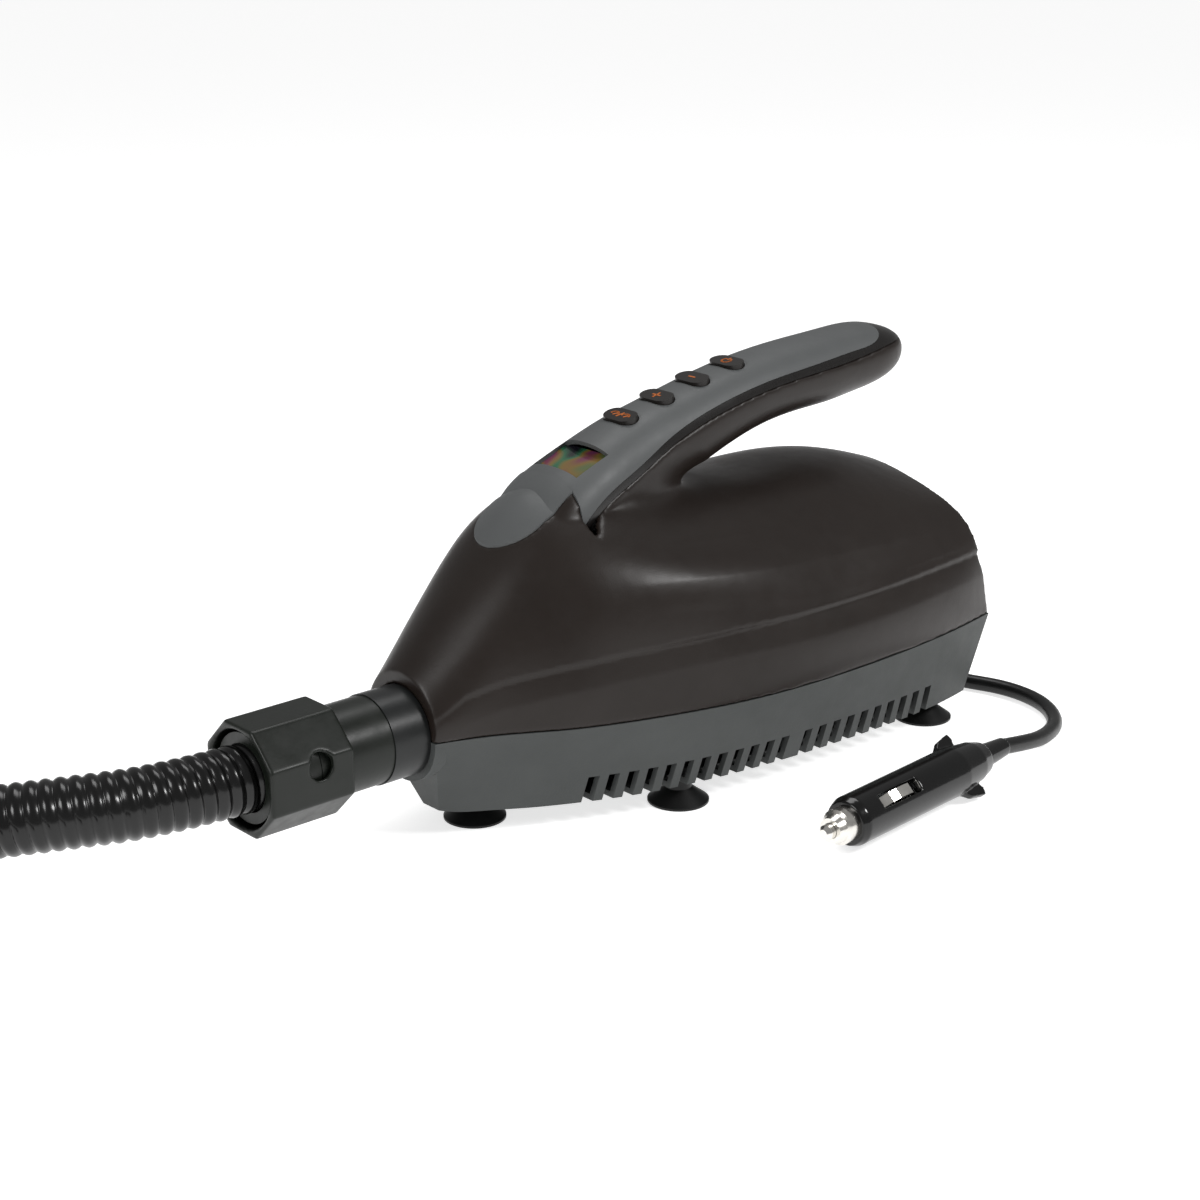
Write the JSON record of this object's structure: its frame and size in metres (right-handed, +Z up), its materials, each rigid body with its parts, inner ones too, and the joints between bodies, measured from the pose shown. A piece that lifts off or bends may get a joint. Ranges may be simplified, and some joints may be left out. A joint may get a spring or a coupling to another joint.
{
  "type": "electric air mattress pump",
  "caption": "Electric air mattress pump with a raised handle, keys and display, side vents, a ribbed hose on a coupling nut and a 12 V plug lead.",
  "frame": {"origin": "on the floor under the middle of the housing, without its hose and lead", "axes": "-X towards the outlet and the hose, +X towards the back end, +Z up, -Y towards the side that the plug lies on"},
  "size_m": [0.7992, 0.317, 0.1746],
  "materials": {
    "shell_dark": "satin, fine mould texture",
    "shell_grey": "fine mould texture",
    "trim_grey": "satin",
    "rim_black": "gloss",
    "lens_dark": "gloss",
    "button_dark": "gloss with orange marks",
    "display": "matt",
    "silicone": "matt",
    "foot_rubber": "satin",
    "board_green": "matt",
    "steel": "bright",
    "brass": "bright",
    "aluminium": "satin",
    "duct_plastic": "matt",
    "nylon": "matt",
    "clear_tube": "satin",
    "connector_black": "satin",
    "nut_black": "satin with mould marks",
    "hose_black": "gloss, ribbed",
    "cable_black": "satin",
    "plug_black": "gloss",
    "nickel": "bright",
    "fuse_glass": "clear with metal caps"
  },
  "bodies": {
    "housing": {"lower_shell": "shell_grey", "upper_shell": "shell_dark", "handle_rim": "rim_black", "handle_panel": "trim_grey", "panel_tongue": "trim_grey", "display_lens": "lens_dark", "display_module": "display", "button_membrane": "silicone", "tact_switches": "steel", "button_board": "board_green", "control_board": "board_green", "pressure_sensor": "duct_plastic", "case_screws": "steel", "foot_front": "foot_rubber", "foot_middle_left": "foot_rubber", "foot_middle_right": "foot_rubber", "foot_rear_left": "foot_rubber", "foot_rear_right": "foot_rubber", "outlet_port": "shell_dark", "port_seal": "foot_rubber", "outlet_duct": "duct_plastic", "blower_housing": "duct_plastic", "blower_cover": "duct_plastic", "blower_motor": "steel", "compressor_frame": "steel", "compressor_motor": "steel", "crank_bush": "brass", "cylinder": "aluminium", "cylinder_head": "aluminium", "air_tube": "clear_tube", "connector_sleeve": "connector_black", "connector_collar": "nut_black", "hose_cuff": "nut_black", "air_hose": "hose_black", "hose_nozzle": "nut_black", "cable_gland": "cable_black", "power_cable_near": "cable_black", "power_cable_coil": "cable_black", "power_cable_far": "cable_black", "cable_tie": "cable_black", "plug_body": "plug_black", "plug_ring": "nickel", "plug_spring": "steel"},
    "power_key": {"power_button": "button_dark"},
    "minus_key": {"minus_button": "button_dark"},
    "plus_key": {"plus_button": "button_dark"},
    "units_key": {"units_button": "button_dark"},
    "nut": {"coupling_nut": "nut_black"},
    "flap": {"check_flap": "duct_plastic"},
    "blower_rotor": {"blower_impeller": "nylon", "blower_shaft": "steel"},
    "pinion": {"drive_pinion": "brass"},
    "crank": {"crank_gear": "nylon"},
    "piston_body": {"piston": "nylon"},
    "rod_body": {"connecting_rod": "nylon", "wrist_pin": "steel"},
    "tip_pin": {"plug_pin": "nickel", "plug_fuse": "fuse_glass"},
    "contact_left": {"plug_contact_left": "nickel"},
    "contact_right": {"plug_contact_right": "nickel"}
  },
  "joints": [
    {"name": "power_press", "type": "slide", "parent": "housing", "child": "power_key", "axis": [0.1626, 0, -0.9867], "range_m": [0, 0.001], "stiffness_N_per_m": 300, "springref_m": -0.0002},
    {"name": "minus_press", "type": "slide", "parent": "housing", "child": "minus_key", "axis": [0.2071, 0, -0.9783], "range_m": [0, 0.001], "stiffness_N_per_m": 300, "springref_m": -0.0002},
    {"name": "plus_press", "type": "slide", "parent": "housing", "child": "plus_key", "axis": [0.2149, 0, -0.9766], "range_m": [0, 0.001], "stiffness_N_per_m": 300, "springref_m": -0.0002},
    {"name": "units_press", "type": "slide", "parent": "housing", "child": "units_key", "axis": [0.2773, 0, -0.9608], "range_m": [0, 0.001], "stiffness_N_per_m": 300, "springref_m": -0.0002},
    {"name": "nut_turn", "type": "hinge", "parent": "housing", "child": "nut", "pos_m": [-0.2, 0, 0.0482], "axis": [1, 0, 0], "range_deg": [0, 90]},
    {"name": "flap_swing", "type": "hinge", "parent": "housing", "child": "flap", "pos_m": [-0.1002, 0, 0.0614], "axis": [0, 1, 0], "range_deg": [0, 60]},
    {"name": "blower_spin", "type": "hinge", "parent": "housing", "child": "blower_rotor", "pos_m": [-0.018, -0.016, 0.03], "axis": [0, 0, 1], "continuous": true},
    {"name": "crank_spin", "type": "hinge", "parent": "housing", "child": "crank", "pos_m": [0.057, 0, 0.043], "axis": [1, 0, 0], "continuous": true},
    {"name": "pinion_spin", "type": "hinge", "parent": "housing", "child": "pinion", "pos_m": [0.0565, -0.03, 0.043], "axis": [1, 0, 0], "continuous": true},
    {"name": "piston_stroke", "type": "slide", "parent": "housing", "child": "piston_body", "axis": [0, 0, 1], "range_m": [-0.014, 0]},
    {"name": "rod_swing", "type": "hinge", "parent": "piston_body", "child": "rod_body", "pos_m": [0.0525, 0, 0.088], "axis": [1, 0, 0], "range_deg": [-10.6, 10.6]},
    {"name": "tip_pin_push", "type": "slide", "parent": "housing", "child": "tip_pin", "axis": [0.9961, 0.0884, 0], "range_m": [0, 0.003], "stiffness_N_per_m": 600, "springref_m": -0.001, "deforming": ["plug_spring"]},
    {"name": "contact_left_push", "type": "slide", "parent": "housing", "child": "contact_left", "axis": [0.0624, -0.7035, 0.708], "range_m": [0, 0.0012], "stiffness_N_per_m": 500, "springref_m": -0.0004},
    {"name": "contact_right_push", "type": "slide", "parent": "housing", "child": "contact_right", "axis": [-0.0624, 0.7035, -0.708], "range_m": [0, 0.0012], "stiffness_N_per_m": 500, "springref_m": -0.0004}
  ],
  "couplings": [
    {"joint": "pinion_spin", "follows": "crank_spin", "ratio": -4}
  ]
}
